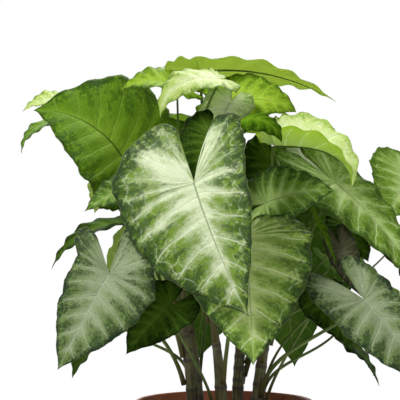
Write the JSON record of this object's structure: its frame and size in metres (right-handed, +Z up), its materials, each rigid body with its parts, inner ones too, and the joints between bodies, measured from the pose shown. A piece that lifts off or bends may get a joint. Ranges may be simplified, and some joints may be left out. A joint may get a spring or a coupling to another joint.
{
  "type": "potted foliage plant",
  "caption": "Leafy arrowhead vine in a tapered nursery pot with a collar rim, broad variegated leaves on tall stalks.",
  "frame": {"origin": "centre of the pot's underside, on the surface it stands on", "axes": "+Z up along the pot; -Y towards the front, where the largest pale leaf hangs; +X to the right seen from the front"},
  "size_m": [0.3655, 0.2741, 0.4241],
  "materials": {
    "pot": "terracotta-coloured moulded plastic, matt, faintly scuffed",
    "soil": "damp dark potting mix, crumbly and matt",
    "stem": "green-brown shoot with darker dry sheaths at the joints",
    "leaf_pale": "cream-green blade centre with a mottled dark green margin, satin",
    "leaf_mid": "mid green blade with pale veins, satin",
    "leaf_bright": "thin yellow-green blade that light shines through, satin",
    "leaf_deep": "dark green blade with finer paler veins, satin",
    "leaf_grey": "grey-green blade centre with a broad pale midrib and dark mottled margin, satin"
  },
  "bodies": {
    "root": {"pot": "pot", "soil": "soil", "stem_left": "stem", "stem_front": "stem", "stem_right": "stem", "stem_back": "stem", "stem_rear": "stem", "leaf_front_large": "leaf_pale", "leaf_front_second": "leaf_mid", "leaf_front_right": "leaf_mid", "leaf_left_low": "leaf_grey", "leaf_left_high": "leaf_bright", "leaf_left_pale": "leaf_pale", "leaf_left_tip": "leaf_bright", "leaf_left_small": "leaf_deep", "leaf_left_folded": "leaf_deep", "leaf_top_left": "leaf_bright", "leaf_top": "leaf_bright", "leaf_top_folded": "leaf_pale", "leaf_top_bright": "leaf_bright", "leaf_middle_pale": "leaf_pale", "leaf_middle_dark": "leaf_deep", "leaf_arched": "leaf_bright", "leaf_right_high": "leaf_pale", "leaf_right_shaded": "leaf_pale", "leaf_right_far": "leaf_mid", "leaf_right_pale": "leaf_pale", "leaf_right_curled": "leaf_deep", "leaf_right_dark": "leaf_deep", "leaf_right_low": "leaf_grey", "leaf_right_brown": "leaf_grey", "leaf_low_dark": "leaf_deep", "leaf_low_left": "leaf_deep", "leaf_rolled": "leaf_bright", "leaf_inner_right": "leaf_deep", "leaf_rear_large": "leaf_mid", "leaf_rear_left": "leaf_pale", "leaf_rear_right": "leaf_mid", "leaf_rear_low": "leaf_deep", "leaf_rear_low_right": "leaf_grey", "leaf_rear_top": "leaf_bright", "leaf_rear_top_right": "leaf_bright", "leaf_side_left": "leaf_mid", "leaf_side_right": "leaf_mid", "leaf_rear_left_high": "leaf_pale", "leaf_side_right_low": "leaf_deep", "leaf_side_left_low": "leaf_deep", "leaf_rear_middle": "leaf_mid"}
  },
  "joints": []
}
